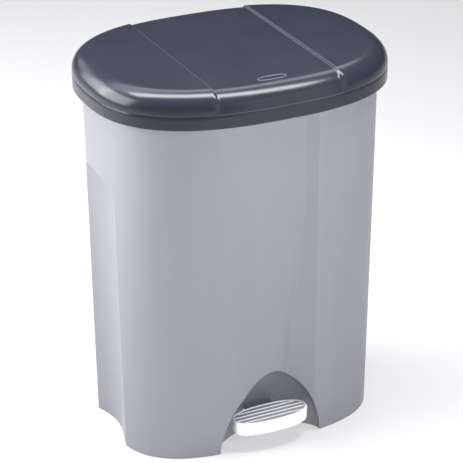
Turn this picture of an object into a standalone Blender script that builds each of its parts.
"""Pedal bin with two inner buckets, as an assembly of separate pieces.

Frame: +X right, -Y front, +Z up, metres. The origin is on the floor, under the middle of the lid.
Every piece is modelled in place by a short function; a moving piece has its origin on its joint's axis.
"""

import math

import bmesh
import bpy
from mathutils import Matrix, Vector

# Overall sizes, measured over the lid.
LENGTH = 0.390
DEPTH = 0.304
HEIGHT = 0.511

# Clearances and walls. Cutters run past what they cut by the overshoot, and a ledge between two outlines is
# that much taller than nothing, so that it stays a face.
GAP = 0.0003
WALL = 0.0028
BUCKET_WALL = 0.0022
OVERSHOOT = 0.010
LEDGE = 0.0002

# Lid.
LID_HEIGHT = 0.0445
LID_POWER = 2.57
LID_EDGE_RADIUS = 0.023
LID_MIDDLE_HALF = 0.080
LID_MIDDLE_DROP = 0.002
LID_STEP_WIDTH = 0.0006
LID_RIB = 0.0024
LID_RIB_REACH = 0.014
LID_RIB_RISE = 0.005
LID_RIB_ANGLES = (0, 180, -38, -142, 30, 150)
LID_EDGE_STEPS = 5

# Body. The lid stands past it by the two overhangs, and it narrows towards the floor by the three tapers.
OVERHANG_END = 0.0114
OVERHANG_FRONT = 0.009
END_TAPER = 0.0072
FRONT_TAPER = 0.024
BACK_TAPER = 0.008
BODY_POWER_TOP = 2.50
BODY_POWER_BASE = 2.98
FLANGE_REACH = 0.004
FLANGE_THICKNESS = 0.0035
WEB_TOP = 0.0575
WEB = 0.003

# Recessed front panel between the two lobes, with sloped walls that widen below a bend.
PANEL_EDGE_TOP = 0.0541
PANEL_EDGE_BASE = 0.0647
PANEL_SLOPE_WIDTH = 0.015
PANEL_SLOPE_WIDTH_BASE = 0.040
PANEL_SLOPE = 0.53
PANEL_BEND_Z = 0.330
PANEL_TOP_BELOW_RIM = 0.001

# Foot niche: a rounded alcove under an arch.
ARCH_HALF = 0.072
ARCH_TOP = 0.1035
NICHE_DEPTH = 0.043
NICHE_FRONT_INSET = 0.0051
NICHE_POWER = 1.7
ARCH_POWER = 1.76
NICHE_STEPS = 12
NICHE_OUTLINE = 48

# Grip recess in each end.
SCOOP_DEPTH = 0.0145
SCOOP_FRONT = -0.052
SCOOP_FACET = 0.041
SCOOP_FACET_DEPTH = 0.0115
SCOOP_BACK = 0.072
SCOOP_LEAN = -0.014
SCOOP_TOP_BELOW_RIM = 0.094
SCOOP_CROWN_Y = 0.018
SCOOP_CROWN = 3.66
SCOOP_OVERRUN = 0.004

# Lid hinge.
LID_OPEN = math.radians(84)
HINGE_INSET = 0.005
HINGE_BELOW_RIM = 0.006
HINGE_X = 0.050
EAR_WIDTH = 0.0144
EAR_RADIUS = 0.0045
LUG_WIDTH = 0.005
LUG_RADIUS = 0.0048
PIN_RADIUS = 0.002
PIN_HEAD_RADIUS = 0.0036
PIN_HEAD = 0.0012
PIN_TAIL = 0.0015
LUG_ROOT = 0.006
EAR_RISE = 0.016
EAR_BACK = 0.0012
NOTCH_BELOW_RIM = 0.0012
NOTCH_DEPTH = 0.014

# Inner buckets.
BUCKET_SPACE = 0.011
BUCKET_GAP = 0.0145
BUCKET_RIM_DROP = 0.0515
BUCKET_FLANGE = 0.006
BUCKET_FLANGE_THICKNESS = 0.003
BUCKET_TAPER = 0.008
BUCKET_FRONT_TAPER = 0.049
BUCKET_BACK_TAPER = 0.013
BUCKET_CORNER_POWER = 7
BUCKET_FOOT = 0.005

# Bails.
BAIL_RADIUS = 0.002
BAIL_REACH = 0.076
BAIL_CORNER = 0.036
BAIL_EAR = 0.003
BAIL_EAR_RADIUS = 0.0055
BAIL_EAR_INSET = 0.001
BAIL_SIDE_PLAY = 0.0008
BAIL_END_INSET = 0.0005
GRIP_RADIUS = 0.006
GRIP_LENGTH = 0.062

# Pedal: tread, lever, axle.
TREAD_HALF = 0.0525
TREAD_HALF_DEPTH = 0.022
TREAD_SET_BACK = 0.006
TREAD_POWER = 2.4
TREAD_TOP = 0.044
TREAD_HEIGHT = 0.018
TREAD_WALL = 0.0025
TREAD_EDGE = 0.003
TREAD_EDGE_STEPS = 3
TREAD_DRAFT = 0.0008
TREAD_OUTLINE = 48
PRESS = math.radians(11)
AXLE_Y = -0.015
AXLE_Z = 0.032
AXLE_RADIUS = 0.003
LEVER_HALF_WIDTH = 0.018
LEVER_THICKNESS = 0.0065
LEVER_BOSS_RADIUS = 0.007
LEVER_TIP_INSET = 0.0065
SLOT_ROOM = 0.0025
LEVER_UNDER_TREAD = 0.0035
LEVER_KNEE_FRONT = 0.012
LEVER_KNEE_BACK = 0.008
LEVER_KNEE_RISE = 0.006
TAIL_TOP = 0.016
TAIL_PAD_FRONT = 0.020
TAIL_PAD_BACK = 0.0035
BRACKET = 0.003
BRACKET_X = 0.0345
BRACKET_HALF_DEPTH = 0.010
CLIP_RADIUS = 0.0055
CLIP = 0.0015

# Push rod, crank and guides.
ROD_X = -0.0085
ROD_TO_HINGE = 0.021
ROD_RADIUS = 0.00225
ROD_BEND = 0.006
ROD_HOOK_END = 0.0080
ROD_FOOT_GAP = 0.0004
ROD_HOLE_ROOM = 0.0025
ROD_CLIP_RADIUS = 0.0042
ROD_CLIP_PLAY = 0.0012
WINDOW_CLEARANCE = 0.0005
CRANK_HALF = 0.0015
CRANK_EYE = 0.003
CRANK_STEM_HALF = 0.002
CRANK_STEM_TO_HINGE = 0.0145
CRANK_STEM_DEPTH = 0.0185
CRANK_PLATE = 0.003
CRANK_PLATE_HALF = 0.020
CRANK_PLATE_DEPTH = 0.0365
CRANK_PLATE_LIP = 0.001
BOSS_RADIUS = 0.0045
BOSS_DROP = 0.007
BOSS_X = 0.0125
BOSS_TO_HINGE = 0.041
SCREW_RADIUS = 0.0013
SCREW_HEAD_RADIUS = 0.0032
SCREW_HEAD = 0.002
SCREW_LENGTH = 0.008
GUIDE_HALF = 0.010
GUIDE_HEIGHT = 0.014
GUIDE_FRONT = 0.006
GUIDE_LOWER_Z = 0.100
GUIDE_UPPER_BELOW_RIM = 0.1065
PEG_RADIUS = 0.003
PEG_HEAD_RADIUS = 0.0046
PEG_HEAD = 0.0012
PEG_SEAT = 0.0004

# Segments of the round shapes.
OUTLINE = 72
BUCKET_OUTLINE = 52
ROUND = 16

# Heights and axes that several pieces share.
RIM_Z = HEIGHT - LID_HEIGHT
BODY_TOP = RIM_Z + FLANGE_THICKNESS
HINGE_Y = DEPTH / 2 - HINGE_INSET
HINGE_Z = RIM_Z - HINGE_BELOW_RIM
BUCKET_RIM_Z = RIM_Z - BUCKET_RIM_DROP
BUCKET_FLOOR_Z = WEB_TOP + GAP
BAIL_Z = BUCKET_RIM_Z + GAP + BAIL_RADIUS
ROD_Y = HINGE_Y - ROD_TO_HINGE
TREAD_Y = -(DEPTH / 2 - OVERHANG_FRONT - FRONT_TAPER) + TREAD_SET_BACK
LIFT = (ROD_Y - AXLE_Y) * math.tan(PRESS)
HOOK_Z = HINGE_Z - LIFT / 2
LID_CEILING = HEIGHT - LID_MIDDLE_DROP - WALL
BOSS_Y = HINGE_Y - BOSS_TO_HINGE
CRANK_TOP = LID_CEILING - BOSS_DROP - GAP
CRANK_BACK = HINGE_Y - CRANK_STEM_TO_HINGE

COLOURS = {
    "body": ((0.42, 0.42, 0.50), 0.38, 0.0),
    "lid": ((0.055, 0.058, 0.085), 0.36, 0.0),
    "bucket": ((0.09, 0.09, 0.10), 0.5, 0.0),
    "pale": ((0.80, 0.81, 0.84), 0.4, 0.0),
    "lever": ((0.12, 0.12, 0.13), 0.5, 0.0),
    "steel": ((0.55, 0.55, 0.56), 0.3, 1.0),
}


# ---------------------------------------------------------------- shapes
def between(low, high, share):
    return low + (high - low) * share


def closed_mesh(name, bm):
    bmesh.ops.remove_doubles(bm, verts=bm.verts, dist=1e-6)
    bmesh.ops.recalc_face_normals(bm, faces=bm.faces)
    mesh = bpy.data.meshes.new(name)
    bm.to_mesh(mesh)
    bm.free()
    return mesh


def add_object(name, bm, origin=(0, 0, 0)):
    """A mesh object from a bmesh in world coordinates, with its origin at the given point."""
    bmesh.ops.translate(bm, verts=bm.verts, vec=-Vector(origin))
    piece = bpy.data.objects.new(name, closed_mesh(name, bm))
    piece.location = origin
    bpy.context.scene.collection.objects.link(piece)
    return piece


def cutter(name, bm):
    piece = add_object(name, bm)
    piece.hide_render = True
    piece.display_type = "WIRE"
    return piece


def show(piece):
    """Turns a helper into a piece of the product."""
    piece.hide_render = False
    piece.display_type = "TEXTURED"


def boolean(piece, operation, *others):
    for other in others:
        modifier = piece.modifiers.new(other.name, "BOOLEAN")
        modifier.operation = operation
        modifier.object = other
        modifier.solver = "EXACT"


def loft(rings):
    """A closed solid through rings of equal counts: one face, extruded from ring to ring, and a base.

    The sides are split along their shorter diagonals, so that mirrored rings give mirrored solids.
    """
    bm = bmesh.new()
    base = [bm.verts.new(point) for point in rings[0]]
    face = bm.faces.new(base)
    for ring in rings[1:]:
        face = bmesh.ops.extrude_discrete_faces(bm, faces=[face])["faces"][0]
        for vert, point in zip(face.verts, ring):
            vert.co = point
    bm.faces.new(reversed(base))
    sides = [face for face in bm.faces if len(face.verts) == 4]
    bmesh.ops.triangulate(bm, faces=sides, quad_method="SHORT_EDGE")
    return bm


def extruded(outline, low, high):
    """A prism along X on a closed outline of (y, z) points."""
    return loft([[(x, y, z) for y, z in outline] for x in (low, high)])


def box(low, high):
    bm = bmesh.new()
    bmesh.ops.create_cube(bm, size=1)
    size = Vector(high) - Vector(low)
    bmesh.ops.scale(bm, verts=bm.verts, vec=size)
    bmesh.ops.translate(bm, verts=bm.verts, vec=(Vector(high) + Vector(low)) / 2)
    return bm


def rod(start, end, radius):
    """A straight round bar between two points."""
    start, end = Vector(start), Vector(end)
    bm = bmesh.new()
    length = (end - start).length
    bmesh.ops.create_cone(bm, cap_ends=True, segments=ROUND, radius1=radius, radius2=radius, depth=length)
    turn = Vector((0, 0, 1)).rotation_difference(end - start).to_matrix().to_4x4()
    bmesh.ops.transform(bm, verts=bm.verts, matrix=Matrix.Translation((start + end) / 2) @ turn)
    return bm


def join(*parts):
    """One bmesh that holds several; a Boolean makes them one body where they meet."""
    whole = bmesh.new()
    for part in parts:
        mesh = closed_mesh("part", part)
        whole.from_mesh(mesh)
        bpy.data.meshes.remove(mesh)
    return whole


def hole_radius(radius):
    """The corner radius of a faceted hole whose flats clear a bar of this radius by the gap."""
    return (radius + GAP) / math.cos(math.pi / ROUND)


def arc(centre, radius, start, end, count):
    return [
        (
            centre[0] + radius * math.cos(between(start, end, k / count)),
            centre[1] + radius * math.sin(between(start, end, k / count)),
        )
        for k in range(count + 1)
    ]


def oval(half_x, front, back, power, z, count, centre=(0, 0)):
    """A ring of points on a rounded rectangle-like oval, with its own depth to the front and to the back."""
    ring = []
    for k in range(count):
        angle = math.tau * k / count
        c, s = math.cos(angle), math.sin(angle)
        reach = (abs(c) ** power + abs(s) ** power) ** (-1 / power)
        depth = back if s > 0 else front
        ring.append((centre[0] + half_x * reach * c, centre[1] + depth * reach * s, z))
    return ring


# ---------------------------------------------------------------- the body's form
def body_sizes(z):
    """Half-length, depth to the front, depth to the back and power of the body's outline at a height."""
    share = z / RIM_Z
    half = LENGTH / 2 - OVERHANG_END - END_TAPER * (1 - share)
    front = DEPTH / 2 - OVERHANG_FRONT - FRONT_TAPER * (1 - share)
    back = DEPTH / 2 - OVERHANG_FRONT - BACK_TAPER * (1 - share)
    return half, front, back, between(BODY_POWER_BASE, BODY_POWER_TOP, share)


def body_ring(z, inset, level=None):
    """The body's outline of height z, inset, and drawn at the level if that is another height."""
    half, front, back, power = body_sizes(z)
    return oval(half - inset, front - inset, back - inset, power, z if level is None else level, OUTLINE)


def front_y(x, z):
    """The y of the body's front surface, away from the recessed panel."""
    half, front, _, power = body_sizes(z)
    return -front * (1 - (abs(x) / half) ** power) ** (1 / power)


def panel_section(z, grow):
    """Cutter outline of the recessed panel at a height, grown towards the inside by a wall."""
    share = z / RIM_Z
    edge_x = between(PANEL_EDGE_BASE, PANEL_EDGE_TOP, share)
    edge_y = front_y(edge_x, z)
    below = max(0, 1 - z / PANEL_BEND_Z)
    width = between(PANEL_SLOPE_WIDTH, PANEL_SLOPE_WIDTH_BASE, below)
    slant = math.atan(PANEL_SLOPE)
    corner = (edge_x - width + grow * math.tan(slant / 2), edge_y + width * PANEL_SLOPE + grow)
    reach = 2 * width
    out = (corner[0] + reach, corner[1] - reach * PANEL_SLOPE)
    half = [corner, out, (out[0], out[1] - OVERSHOOT)]
    return [(-x, y) for x, y in half] + [(x, y) for x, y in reversed(half)]


def panel_cutter(grow):
    top = RIM_Z - PANEL_TOP_BELOW_RIM + grow
    levels = [-OVERSHOOT, 0, PANEL_BEND_Z / 3, PANEL_BEND_Z * 2 / 3, PANEL_BEND_Z, top]
    return loft([[(x, y, z) for x, y in panel_section(max(z, 0), grow)] for z in levels])


def niche_cutter(grow):
    """Alcove whose width and depth shrink towards the crown of its arch."""
    centre_y = -body_sizes(0)[1] + NICHE_FRONT_INSET
    rings = []
    for k in range(-1, NICHE_STEPS):
        share = max(0, math.sin(math.pi / 2 * k / NICHE_STEPS))
        size = (1 - share**ARCH_POWER) ** (1 / NICHE_POWER)
        z = -OVERSHOOT if k < 0 else share * (ARCH_TOP + grow)
        half = ARCH_HALF * size + grow
        deep = NICHE_DEPTH * size + grow
        rings.append(oval(half, deep, deep, NICHE_POWER, z, NICHE_OUTLINE, (0, centre_y)))
    return loft(rings)


def scoop_depth(y):
    """Depth of the grip recess along the body's end: a flat facet in front, then one curve back."""
    bend = SCOOP_FRONT + SCOOP_FACET
    if y < bend:
        return SCOOP_FACET_DEPTH * (y - SCOOP_FRONT) / SCOOP_FACET
    share = (y - bend) / (SCOOP_BACK - bend)
    bulge = SCOOP_DEPTH - SCOOP_FACET_DEPTH / 2
    return SCOOP_FACET_DEPTH * (1 - share) + 4 * bulge * share * (1 - share)


def scoop_section(side, y, depth, grow):
    """The recess cut across: its floor leans with the body's end, and its top follows a low arch."""
    top = RIM_Z - SCOOP_TOP_BELOW_RIM - SCOOP_CROWN * (y - SCOOP_CROWN_Y) ** 2 + grow
    far = side * (LENGTH / 2 + OVERSHOOT)
    low_x, high_x = (side * (body_sizes(z)[0] - depth) for z in (-OVERSHOOT, top))
    low_y, high_y = y, y + SCOOP_LEAN * top
    return [(low_x, low_y, -OVERSHOOT), (high_x, high_y, top), (far, high_y, top), (far, low_y, -OVERSHOOT)]


def scoop_cutter(side, grow):
    steps = 16
    middle = [between(SCOOP_FRONT, SCOOP_BACK, k / steps) for k in range(steps + 1)]
    past = grow + SCOOP_OVERRUN
    rings = [scoop_section(side, SCOOP_FRONT - past, -SCOOP_OVERRUN, grow)]
    rings += [scoop_section(side, y, scoop_depth(y) + grow, grow) for y in middle]
    rings.append(scoop_section(side, SCOOP_BACK + past, -SCOOP_OVERRUN, grow))
    return loft(rings)


def body_form(name, inset, low, high):
    """The body's outside, or with an inset its inside, between two heights, with every recess taken out."""
    levels = [low, between(low, min(high, RIM_Z), 0.5), min(high, RIM_Z)]
    rings = [body_ring(z, inset) for z in levels]
    if inset == 0:
        rings[-1] = body_ring(RIM_Z, 0, RIM_Z - LEDGE)
        rings += [body_ring(RIM_Z, -FLANGE_REACH, RIM_Z), body_ring(RIM_Z, -FLANGE_REACH, BODY_TOP)]
    elif high > RIM_Z:
        rings.append(body_ring(RIM_Z, inset, high))
    form = cutter(name, loft(rings))
    boolean(form, "DIFFERENCE", cutter(name + "_panel", panel_cutter(inset)))
    boolean(form, "DIFFERENCE", cutter(name + "_niche", niche_cutter(inset)))
    for side, label in ((-1, "left"), (1, "right")):
        boolean(form, "DIFFERENCE", cutter(f"{name}_scoop_{label}", scoop_cutter(side, inset)))
    return form


# ---------------------------------------------------------------- pieces
def lug_plates():
    """Two plates at each side of each lid ear, growing out of the back wall."""
    plates = []
    root = HINGE_Y - LUG_RADIUS - LUG_ROOT
    outline = arc((HINGE_Y, HINGE_Z), LUG_RADIUS, -math.pi / 2, math.pi / 2, 10)
    outline += [(root, HINGE_Z + LUG_RADIUS), (root, HINGE_Z - LUG_RADIUS - LUG_ROOT)]
    for centre in (-HINGE_X, HINGE_X):
        for side in (-1, 1):
            inner = centre + side * (EAR_WIDTH / 2 + GAP)
            plates.append(extruded(outline, *sorted((inner, inner + side * LUG_WIDTH))))
    return join(*plates)


def hinge_cuts():
    """Notches in the rim that the lid's ears pass through, and flats that keep the rim clear of the lugs."""
    cuts = []
    top = BODY_TOP + OVERSHOOT
    for centre in (-HINGE_X, HINGE_X):
        half = EAR_WIDTH / 2 + GAP
        low = (centre - half, HINGE_Y - NOTCH_DEPTH, RIM_Z - NOTCH_BELOW_RIM)
        cuts.append(box(low, (centre + half, DEPTH / 2, top)))
        half += LUG_WIDTH + 2 * GAP
        low = (centre - half, HINGE_Y - FLANGE_REACH, HINGE_Z + LUG_RADIUS + 2 * GAP)
        cuts.append(box(low, (centre + half, DEPTH / 2 + OVERSHOOT, top)))
    return cuts


def axle_brackets():
    brackets = []
    top = WEB_TOP - WEB / 2
    outline = arc((AXLE_Y, AXLE_Z), BRACKET_HALF_DEPTH, -math.pi, 0, 10)
    outline += [(AXLE_Y + BRACKET_HALF_DEPTH, top), (AXLE_Y - BRACKET_HALF_DEPTH, top)]
    for side in (-1, 1):
        brackets.append(extruded(outline, *sorted((side * BRACKET_X, side * (BRACKET_X + BRACKET)))))
    return join(*brackets)


def lever_slot():
    """Opening low in the niche's back wall, down to the floor, for the lever to move in."""
    half = LEVER_HALF_WIDTH + SLOT_ROOM
    niche_back = -body_sizes(0)[1] + NICHE_FRONT_INSET + NICHE_DEPTH
    low = (-half, niche_back - 2 * OVERSHOOT, -OVERSHOOT)
    return box(low, (half, niche_back + WALL + OVERSHOOT, lever_top() + SLOT_ROOM))


def pin_bores(reach):
    bores = []
    for x in (-HINGE_X, HINGE_X):
        ends = ((x - reach, HINGE_Y, HINGE_Z), (x + reach, HINGE_Y, HINGE_Z))
        bores.append(rod(*ends, hole_radius(PIN_RADIUS)))
    return join(*bores)


def body_shell():
    shell = body_form("body_shell", 0, 0, BODY_TOP)
    show(shell)
    boolean(shell, "UNION", cutter("hinge_lugs", lug_plates()))
    boolean(shell, "DIFFERENCE", body_form("upper_room", WALL, WEB_TOP, BODY_TOP + OVERSHOOT))
    boolean(shell, "DIFFERENCE", body_form("lower_room", WALL, -OVERSHOOT / 2, WEB_TOP - WEB))
    for number, cut in enumerate(hinge_cuts()):
        boolean(shell, "DIFFERENCE", cutter(f"hinge_cut_{number}", cut))
    boolean(shell, "DIFFERENCE", cutter("pin_bores", pin_bores(EAR_WIDTH / 2 + LUG_WIDTH + 2 * PIN_TAIL)))
    boolean(shell, "DIFFERENCE", cutter("lever_slot", lever_slot()))
    boolean(shell, "UNION", cutter("axle_brackets", axle_brackets()))
    reach = BRACKET_X + 2 * BRACKET
    axle_bore = rod((-reach, AXLE_Y, AXLE_Z), (reach, AXLE_Y, AXLE_Z), hole_radius(AXLE_RADIUS))
    boolean(shell, "DIFFERENCE", cutter("axle_bore", axle_bore))
    ends = [(ROD_X, ROD_Y, WEB_TOP + side * OVERSHOOT) for side in (-1, 1)]
    boolean(shell, "DIFFERENCE", cutter("rod_hole", rod(*ends, ROD_RADIUS + ROD_HOLE_ROOM)))
    pegs = [rod((ROD_X, ROD_Y, z), (ROD_X, DEPTH / 2, z), hole_radius(PEG_RADIUS)) for z in guide_heights()]
    boolean(shell, "DIFFERENCE", cutter("peg_holes", join(*pegs)))
    return shell


def lid_skin(name, inset, low):
    """The lid's outside, or with an inset its inside, closed at a height below its rim."""
    half, depth = LENGTH / 2 - inset, DEPTH / 2 - inset
    radius = LID_EDGE_RADIUS - inset
    spring = HEIGHT - LID_EDGE_RADIUS
    rings = [oval(half, depth, depth, LID_POWER, z, OUTLINE) for z in (low, spring)]
    for k in range(1, LID_EDGE_STEPS + 1):
        angle = math.pi / 2 * k / LID_EDGE_STEPS
        back, rise = radius * (1 - math.cos(angle)), radius * math.sin(angle)
        rings.append(oval(half - back, depth - back, depth - back, LID_POWER, spring + rise, OUTLINE))
    bm = loft(rings)
    for side in (-1, 1):
        for x in (LID_MIDDLE_HALF, LID_MIDDLE_HALF + LID_STEP_WIDTH):
            whole = bm.verts[:] + bm.edges[:] + bm.faces[:]
            bmesh.ops.bisect_plane(bm, geom=whole, plane_co=(side * x, 0, 0), plane_no=(1, 0, 0), dist=1e-6)
    for vert in bm.verts:
        if abs(vert.co.x) < LID_MIDDLE_HALF + LID_STEP_WIDTH / 2 and vert.co.z > spring:
            vert.co.z = spring + (vert.co.z - spring) * (radius - LID_MIDDLE_DROP) / radius
    return cutter(name, bm)


def lid_ears():
    """Hinge ears: round about the pin, narrower where they rise into the skirt."""
    back, front, top = HINGE_Y + EAR_BACK, HINGE_Y - EAR_RADIUS, RIM_Z + EAR_RISE
    outline = arc((HINGE_Y, HINGE_Z), EAR_RADIUS, -math.pi, math.radians(12), 12)
    outline += [(back, HINGE_Z + EAR_RADIUS), (back, top), (front, top)]
    return join(*(extruded(outline, x - EAR_WIDTH / 2, x + EAR_WIDTH / 2) for x in (-HINGE_X, HINGE_X)))


def lid_ribs():
    """Short ribs inside the skirt, whose lower ends rest on the body's rim."""
    ribs = []
    low, high = BODY_TOP + GAP, HEIGHT - LID_EDGE_RADIUS + LID_RIB_RISE
    for degrees in LID_RIB_ANGLES:
        angle = math.radians(degrees)
        c, s = math.cos(angle), math.sin(angle)
        reach = (abs(c) ** LID_POWER + abs(s) ** LID_POWER) ** (-1 / LID_POWER)
        tip = Vector((LENGTH / 2 * reach * c, DEPTH / 2 * reach * s, 0))
        normal = Vector((c * abs(c) / (LENGTH / 2), s * abs(s) / (DEPTH / 2), 0)).normalized()
        turn = math.atan2(normal.y, normal.x)
        rib = box((-LID_RIB_REACH - WALL, -LID_RIB / 2, low), (-WALL / 2, LID_RIB / 2, high))
        bmesh.ops.rotate(rib, verts=rib.verts, cent=(0, 0, 0), matrix=Matrix.Rotation(turn, 3, "Z"))
        bmesh.ops.translate(rib, verts=rib.verts, vec=tip)
        ribs.append(rib)
    return join(*ribs)


def lid():
    shell = lid_skin("lid", 0, RIM_Z)
    show(shell)
    boolean(shell, "DIFFERENCE", lid_skin("lid_room", WALL, RIM_Z - OVERSHOOT))
    boolean(shell, "UNION", cutter("ears", lid_ears()))
    boolean(shell, "UNION", cutter("ribs", lid_ribs()))
    bosses = [
        rod((x, BOSS_Y, LID_CEILING - BOSS_DROP), (x, BOSS_Y, LID_CEILING + WALL / 2), BOSS_RADIUS)
        for x in (-BOSS_X, BOSS_X)
    ]
    boolean(shell, "UNION", cutter("bosses", join(*bosses)))
    boolean(shell, "DIFFERENCE", cutter("ear_bores", pin_bores(EAR_WIDTH / 2 + PIN_TAIL)))
    low = LID_CEILING - BOSS_DROP - OVERSHOOT
    high = CRANK_TOP - CRANK_PLATE + SCREW_LENGTH + 2 * GAP
    threads = [rod((x, BOSS_Y, low), (x, BOSS_Y, high), hole_radius(SCREW_RADIUS)) for x in (-BOSS_X, BOSS_X)]
    boolean(shell, "DIFFERENCE", cutter("boss_bores", join(*threads)))
    return shell


def hinge_pin(name, centre):
    reach = EAR_WIDTH / 2 + GAP + LUG_WIDTH
    side = 1 if centre > 0 else -1
    head = centre + side * (reach + GAP)
    tail = centre - side * (reach + PIN_TAIL)
    shank = rod((head, HINGE_Y, HINGE_Z), (tail, HINGE_Y, HINGE_Z), PIN_RADIUS)
    piece = add_object(name, shank, (centre, HINGE_Y, HINGE_Z))
    ends = ((head - side * LEDGE / 2, HINGE_Y, HINGE_Z), (head + side * PIN_HEAD, HINGE_Y, HINGE_Z))
    cap = rod(*ends, PIN_HEAD_RADIUS)
    boolean(piece, "UNION", cutter(name + "_head", cap))
    return piece


def pin_path_in_lid():
    """Where the rod's hook lies in the closed lid's own frame, at steps of the lid's opening."""
    points = []
    steps = 8
    for k in range(steps + 1):
        turn = LID_OPEN * k / steps
        y, z = ROD_Y - HINGE_Y, HOOK_Z + LIFT * k / steps - HINGE_Z
        turned_y = y * math.cos(turn) - z * math.sin(turn)
        turned_z = y * math.sin(turn) + z * math.cos(turn)
        points.append((HINGE_Y + turned_y, HINGE_Z + turned_z))
    return points


def hull_prism(centres, radius, half):
    """A prism along X on the outline that wraps circles round the centres."""
    bm = bmesh.new()
    for y, z in centres:
        for x in (-half, half):
            place = Matrix.Translation((x, y, z)) @ Matrix.Rotation(math.pi / 2, 4, "Y")
            bmesh.ops.create_circle(bm, segments=ROUND, radius=radius, matrix=place)
    bmesh.ops.convex_hull(bm, input=bm.verts[:])
    bmesh.ops.delete(bm, geom=[edge for edge in bm.edges if not edge.link_faces], context="EDGES")
    bmesh.ops.delete(bm, geom=[vert for vert in bm.verts if not vert.link_faces], context="VERTS")
    return bm


def lid_crank():
    path = pin_path_in_lid()
    eye = hull_prism(path, ROD_RADIUS + WINDOW_CLEARANCE + CRANK_EYE, CRANK_HALF)
    piece = add_object("lid_crank", eye, (0, HINGE_Y, HINGE_Z))
    eye_top = max(z for _, z in path) + ROD_RADIUS
    stem = box(
        (-CRANK_STEM_HALF, CRANK_BACK - CRANK_STEM_DEPTH, eye_top),
        (CRANK_STEM_HALF, CRANK_BACK, CRANK_TOP - CRANK_PLATE / 2),
    )
    plate = box(
        (-CRANK_PLATE_HALF, CRANK_BACK - CRANK_PLATE_DEPTH, CRANK_TOP - CRANK_PLATE),
        (CRANK_PLATE_HALF, CRANK_BACK + CRANK_PLATE_LIP, CRANK_TOP),
    )
    boolean(piece, "UNION", cutter("crank_stem", stem), cutter("crank_plate", plate))
    clear = (ROD_RADIUS + WINDOW_CLEARANCE) / math.cos(math.pi / ROUND)
    window = hull_prism(path, clear, CRANK_STEM_HALF * 2)
    boolean(piece, "DIFFERENCE", cutter("crank_window", window))
    low, high = CRANK_TOP - OVERSHOOT, CRANK_TOP + OVERSHOOT
    holes = [rod((x, BOSS_Y, low), (x, BOSS_Y, high), hole_radius(SCREW_RADIUS)) for x in (-BOSS_X, BOSS_X)]
    boolean(piece, "DIFFERENCE", cutter("crank_holes", join(*holes)))
    return piece


def screw(name, x, y, seat):
    """A screw put in from below: its head lies under the seat height and its shank runs up."""
    head_face = seat - GAP
    shank = rod((x, y, head_face - SCREW_HEAD / 2), (x, y, head_face + SCREW_LENGTH), SCREW_RADIUS)
    piece = add_object(name, shank, (x, y, seat))
    head = rod((x, y, head_face - SCREW_HEAD), (x, y, head_face), SCREW_HEAD_RADIUS)
    boolean(piece, "UNION", cutter(name + "_head", head))
    return piece


def bucket_frame(side):
    """Centre x, half-width, front and back depths of a bucket's opening, inside its flange."""
    half, front, back, _ = body_sizes(BUCKET_RIM_Z)
    inset = WALL + BUCKET_GAP
    outer, inner = half - inset, BUCKET_SPACE / 2
    return side * (outer + inner) / 2, (outer - inner) / 2, front - inset, back - inset


def bucket_outline(side, centre, half, front, back, z):
    """A ring that follows the body's end and front outside, and runs straight along the bin's middle."""
    power = body_sizes(BUCKET_RIM_Z)[3]
    outer = abs(centre) + half
    ring = []
    for k in range(BUCKET_OUTLINE):
        angle = math.tau * k / BUCKET_OUTLINE
        low, high = 0, 2 * outer
        for _ in range(40):
            reach = (low + high) / 2
            x, y = abs(centre) + reach * math.cos(angle), reach * math.sin(angle)
            depth = back if y > 0 else front
            follow = ((abs(x) / outer) ** power + (abs(y) / depth) ** power) ** (1 / power)
            straight = max(0, (abs(centre) - x) / half)
            inside = follow**BUCKET_CORNER_POWER + straight**BUCKET_CORNER_POWER < 1
            low, high = (reach, high) if inside else (low, reach)
        ring.append((side * x, y, z))
    return ring


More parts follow.
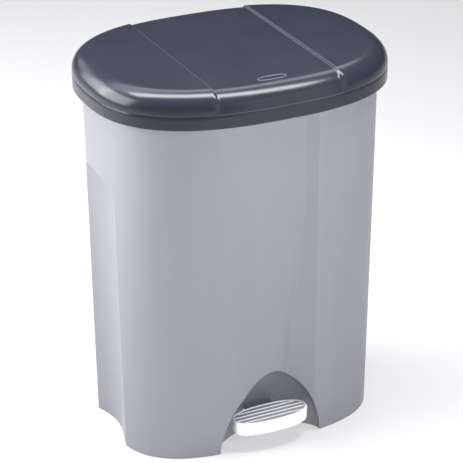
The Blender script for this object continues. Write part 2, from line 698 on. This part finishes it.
def bucket(name, side):
    centre, half, front, back = bucket_frame(side)
    half, front, back = half - BUCKET_FLANGE, front - BUCKET_FLANGE, back - BUCKET_FLANGE
    low_centre = centre - side * BUCKET_TAPER / 2
    low = (half - BUCKET_TAPER / 2, front - BUCKET_FRONT_TAPER, back - BUCKET_BACK_TAPER)

    def ring(share, z, grow):
        sizes = [between(a, b, share) + grow for a, b in zip(low, (half, front, back))]
        return bucket_outline(side, between(low_centre, centre, share), *sizes, z)

    floor = BUCKET_FLOOR_Z
    flange_low = BUCKET_RIM_Z - BUCKET_FLANGE_THICKNESS
    near_top = (flange_low - floor) / (BUCKET_RIM_Z - floor)
    foot = floor + BUCKET_FOOT
    rings = [ring(0, floor, -BUCKET_FOOT), ring(0, foot, 0), ring(near_top, flange_low - LEDGE, 0)]
    rings += [ring(1, flange_low, BUCKET_FLANGE), ring(1, BUCKET_RIM_Z, BUCKET_FLANGE)]
    piece = add_object(name, loft(rings), (centre, 0, BUCKET_FLOOR_Z))
    ears = []
    for end in (-1, 1):
        out = centre + end * (half + BUCKET_FLANGE - BAIL_EAR_INSET)
        low_x, high_x = sorted((out, out - end * BAIL_EAR))
        head = arc((0, BAIL_Z), BAIL_EAR_RADIUS, 0, math.pi, 10)
        base = BUCKET_RIM_Z - BUCKET_FLANGE_THICKNESS / 2
        spread = BAIL_EAR_RADIUS + BAIL_RADIUS
        outline = head + [(-spread, base), (spread, base)]
        ears.append(extruded(outline, low_x, high_x))
    boolean(piece, "UNION", cutter(name + "_ears", join(*ears)))
    room = [ring(0, floor + BUCKET_WALL, -BUCKET_WALL - BUCKET_FOOT)]
    room.append(ring(0, foot + BUCKET_WALL, -BUCKET_WALL))
    room += [ring(1, BUCKET_RIM_Z, -BUCKET_WALL), ring(1, BUCKET_RIM_Z + OVERSHOOT, -BUCKET_WALL)]
    boolean(piece, "DIFFERENCE", cutter(name + "_room", loft(room)))
    reach = half + 2 * BUCKET_FLANGE
    bore = rod((centre - reach, 0, BAIL_Z), (centre + reach, 0, BAIL_Z), hole_radius(BAIL_RADIUS))
    boolean(piece, "DIFFERENCE", cutter(name + "_ear_bore", bore))
    return piece


def bail_path(side):
    """The wire's centre line, lying flat towards the front, from one ear through the grip to the other."""
    centre, half, _, _ = bucket_frame(side)
    leg = half - BAIL_EAR_INSET - BAIL_EAR - BAIL_SIDE_PLAY - BAIL_RADIUS
    tip = half - BAIL_END_INSET
    bend = BAIL_RADIUS * 1.5
    right = [(tip, 0), (leg + bend, 0)]
    right += [(leg + bend + dx, -bend + dy) for dx, dy in arc((0, 0), bend, math.pi / 2, math.pi, 4)][1:]
    right += [
        (leg - BAIL_CORNER + dx, -BAIL_REACH + BAIL_CORNER + dy)
        for dx, dy in arc((0, 0), BAIL_CORNER, 0, -math.pi / 2, 8)
    ]
    path = right + [(-x, y) for x, y in reversed(right)]
    return [(centre + x, y, BAIL_Z) for x, y in path]


def wire(name, path, radius, origin):
    """A round wire along a path, as a curve with a round bevel and filled ends."""
    curve = bpy.data.curves.new(name, "CURVE")
    curve.dimensions = "3D"
    curve.bevel_depth = radius
    curve.bevel_resolution = 2
    curve.use_fill_caps = True
    spline = curve.splines.new("POLY")
    spline.points.add(len(path) - 1)
    for point, place in zip(spline.points, path):
        point.co = (*(Vector(place) - Vector(origin)), 1)
    piece = bpy.data.objects.new(name, curve)
    piece.location = origin
    bpy.context.scene.collection.objects.link(piece)
    return piece


def sleeve(name, start, end, outer, inner, origin):
    """A tube between two points."""
    piece = add_object(name, rod(start, end, outer), origin)
    along = (Vector(end) - Vector(start)).normalized() * OVERSHOOT
    bore = rod(Vector(start) - along, Vector(end) + along, hole_radius(inner))
    boolean(piece, "DIFFERENCE", cutter(name + "_bore", bore))
    return piece


def pedal_tread():
    """Oval cap, hollow from below, notched at the back for the lever."""

    def ring(z, inset):
        half = TREAD_HALF - inset
        deep = TREAD_HALF_DEPTH - inset
        return oval(half, deep, deep, TREAD_POWER, z, TREAD_OUTLINE, (0, TREAD_Y))

    base, ceiling = TREAD_TOP - TREAD_HEIGHT, TREAD_TOP - TREAD_WALL
    rings = [ring(base, TREAD_DRAFT), ring(TREAD_TOP - TREAD_EDGE, 0)]
    for k in range(1, TREAD_EDGE_STEPS + 1):
        angle = math.pi / 2 * k / TREAD_EDGE_STEPS
        rings.append(ring(TREAD_TOP - TREAD_EDGE * (1 - math.sin(angle)), TREAD_EDGE * (1 - math.cos(angle))))
    piece = add_object("pedal_tread", loft(rings), (0, AXLE_Y, AXLE_Z))
    room = loft([ring(base - OVERSHOOT, TREAD_WALL), ring(ceiling, TREAD_WALL + TREAD_DRAFT)])
    boolean(piece, "DIFFERENCE", cutter("tread_room", room))
    half = LEVER_HALF_WIDTH + GAP
    notch = box((-half, TREAD_Y, base - OVERSHOOT), (half, TREAD_Y + TREAD_HALF_DEPTH + OVERSHOOT, ceiling))
    boolean(piece, "DIFFERENCE", cutter("tread_notch", notch))
    boss = rod((0, TREAD_Y, lever_top() + GAP), (0, TREAD_Y, TREAD_TOP - TREAD_WALL / 2), BOSS_RADIUS)
    boolean(piece, "UNION", cutter("tread_boss", boss))
    thread_top = TREAD_TOP - TREAD_WALL / 2
    thread = rod((0, TREAD_Y, base - OVERSHOOT), (0, TREAD_Y, thread_top), hole_radius(SCREW_RADIUS))
    boolean(piece, "DIFFERENCE", cutter("tread_bore", thread))
    return piece


def lever_top():
    return TREAD_TOP - TREAD_WALL - GAP - LEVER_UNDER_TREAD


def pedal_lever():
    """A flat lever: tongue under the tread, a boss on the axle, and a tail under the push rod."""
    front = TREAD_Y - TREAD_HALF_DEPTH + LEVER_TIP_INSET
    top = lever_top()
    tail_start = ROD_Y - TAIL_PAD_FRONT
    tail_end = ROD_Y + TAIL_PAD_BACK
    knee_front, knee_back = AXLE_Y - LEVER_KNEE_FRONT, AXLE_Y + LEVER_KNEE_BACK
    upper = [(front, top), (knee_front, top), (knee_back, AXLE_Z + LEVER_KNEE_RISE), (tail_start, TAIL_TOP)]
    upper.append((tail_end, TAIL_TOP))
    lower = [(y, z - LEVER_THICKNESS) for y, z in upper]
    lower[2] = (knee_back, AXLE_Z - LEVER_KNEE_RISE)
    plate = extruded(upper + lower[::-1], -LEVER_HALF_WIDTH, LEVER_HALF_WIDTH)
    piece = add_object("pedal_lever", plate, (0, AXLE_Y, AXLE_Z))
    reach = BRACKET_X - 2 * GAP
    boss = rod((-reach, AXLE_Y, AXLE_Z), (reach, AXLE_Y, AXLE_Z), LEVER_BOSS_RADIUS)
    boolean(piece, "UNION", cutter("lever_boss", boss))
    bore = rod((-2 * reach, AXLE_Y, AXLE_Z), (2 * reach, AXLE_Y, AXLE_Z), hole_radius(AXLE_RADIUS))
    boolean(piece, "DIFFERENCE", cutter("lever_bore", bore))
    hole = rod((0, TREAD_Y, 0), (0, TREAD_Y, TREAD_TOP), hole_radius(SCREW_RADIUS))
    boolean(piece, "DIFFERENCE", cutter("lever_screw_hole", hole))
    return piece


def pedal_axle():
    reach = BRACKET_X + BRACKET + GAP + 2 * CLIP
    bar = rod((-reach, AXLE_Y, AXLE_Z), (reach, AXLE_Y, AXLE_Z), AXLE_RADIUS)
    return add_object("pedal_axle", bar, (0, AXLE_Y, AXLE_Z))


def axle_clip(name, side):
    inner = side * (BRACKET_X + BRACKET + GAP)
    outer = inner + side * CLIP
    ends = ((inner, AXLE_Y, AXLE_Z), (outer, AXLE_Y, AXLE_Z))
    return sleeve(name, *ends, CLIP_RADIUS, AXLE_RADIUS, (inner, AXLE_Y, AXLE_Z))


def push_rod():
    """Steel rod: straight up the back, then a hook through the crank's window."""
    foot = (ROD_X, ROD_Y, TAIL_TOP + ROD_FOOT_GAP)
    bend = [
        (ROD_X + ROD_BEND + dx, ROD_Y, HOOK_Z - ROD_BEND + dz)
        for dx, dz in arc((0, 0), ROD_BEND, math.pi, math.pi / 2, 6)
    ]
    path = [foot, *bend, (ROD_HOOK_END, ROD_Y, HOOK_Z)]
    return wire("push_rod", path, ROD_RADIUS, (ROD_X, ROD_Y, foot[2]))


def rod_clip():
    start = CRANK_STEM_HALF + ROD_CLIP_PLAY
    ends = ((start, ROD_Y, HOOK_Z), (start + CLIP, ROD_Y, HOOK_Z))
    return sleeve("rod_clip", *ends, ROD_CLIP_RADIUS, ROD_RADIUS, (start, ROD_Y, HOOK_Z))


def guide_heights():
    return (GUIDE_LOWER_Z, RIM_Z - GUIDE_UPPER_BELOW_RIM)


def back_inside(z):
    return body_sizes(z)[2] - WALL


def rod_guide(name, z):
    """A block on the back wall's inside, held by a headed peg through the wall."""
    low, high = z - GUIDE_HEIGHT / 2, z + GUIDE_HEIGHT / 2
    front = ROD_Y - GUIDE_FRONT
    seat = 2 * GAP
    outline = [(front, low), (back_inside(low) - seat, low), (back_inside(high) - seat, high), (front, high)]
    block = extruded(outline, ROD_X - GUIDE_HALF, ROD_X + GUIDE_HALF)
    piece = add_object(name, block, (ROD_X, ROD_Y, z))
    head_y = body_sizes(z)[2] + PEG_SEAT
    peg = rod((ROD_X, ROD_Y + GUIDE_FRONT - ROD_RADIUS, z), (ROD_X, head_y + PEG_HEAD / 2, z), PEG_RADIUS)
    head = rod((ROD_X, head_y, z), (ROD_X, head_y + PEG_HEAD, z), PEG_HEAD_RADIUS)
    boolean(piece, "UNION", cutter(name + "_peg", peg))
    boolean(piece, "UNION", cutter(name + "_peg_head", head))
    bore = rod((ROD_X, ROD_Y, low - OVERSHOOT), (ROD_X, ROD_Y, high + OVERSHOOT), hole_radius(ROD_RADIUS))
    boolean(piece, "DIFFERENCE", cutter(name + "_bore", bore))
    return piece


# ---------------------------------------------------------------- assembly
def material(piece, finish):
    colour, roughness, metallic = COLOURS[finish]
    made = bpy.data.materials.new(piece.name)
    made.use_nodes = True
    shader = made.node_tree.nodes["Principled BSDF"]
    shader.inputs["Base Color"].default_value = (*colour, 1)
    shader.inputs["Roughness"].default_value = roughness
    shader.inputs["Metallic"].default_value = metallic
    piece.data.materials.append(made)
    if piece.type == "MESH":
        piece.data.shade_smooth()
        piece.data.set_sharp_from_angle(angle=math.radians(35))


def clear_scene():
    for item in list(bpy.data.objects):
        bpy.data.objects.remove(item)


def main():
    clear_scene()
    material(body_shell(), "body")
    material(lid(), "lid")
    material(lid_crank(), "lever")
    material(pedal_tread(), "pale")
    material(pedal_lever(), "lever")
    material(pedal_axle(), "steel")
    material(push_rod(), "steel")
    material(rod_clip(), "steel")
    plate_low = CRANK_TOP - CRANK_PLATE
    material(screw("tread_screw", 0, TREAD_Y, lever_top() - LEVER_THICKNESS), "steel")
    for label, z in zip(("lower", "upper"), guide_heights()):
        material(rod_guide("rod_guide_" + label, z), "lever")
    for label, side in (("left", -1), ("right", 1)):
        material(hinge_pin("hinge_pin_" + label, side * HINGE_X), "steel")
        material(screw("crank_screw_" + label, side * BOSS_X, BOSS_Y, plate_low), "steel")
        material(axle_clip("axle_clip_" + label, side), "steel")
        material(bucket("bucket_" + label, side), "bucket")
        centre = bucket_frame(side)[0]
        pivot = (centre, 0, BAIL_Z)
        material(wire("bail_" + label, bail_path(side), BAIL_RADIUS, pivot), "steel")
        ends = [(centre + end * GRIP_LENGTH / 2, -BAIL_REACH, BAIL_Z) for end in (-1, 1)]
        material(sleeve("bail_grip_" + label, *ends, GRIP_RADIUS, BAIL_RADIUS, pivot), "lever")


main()
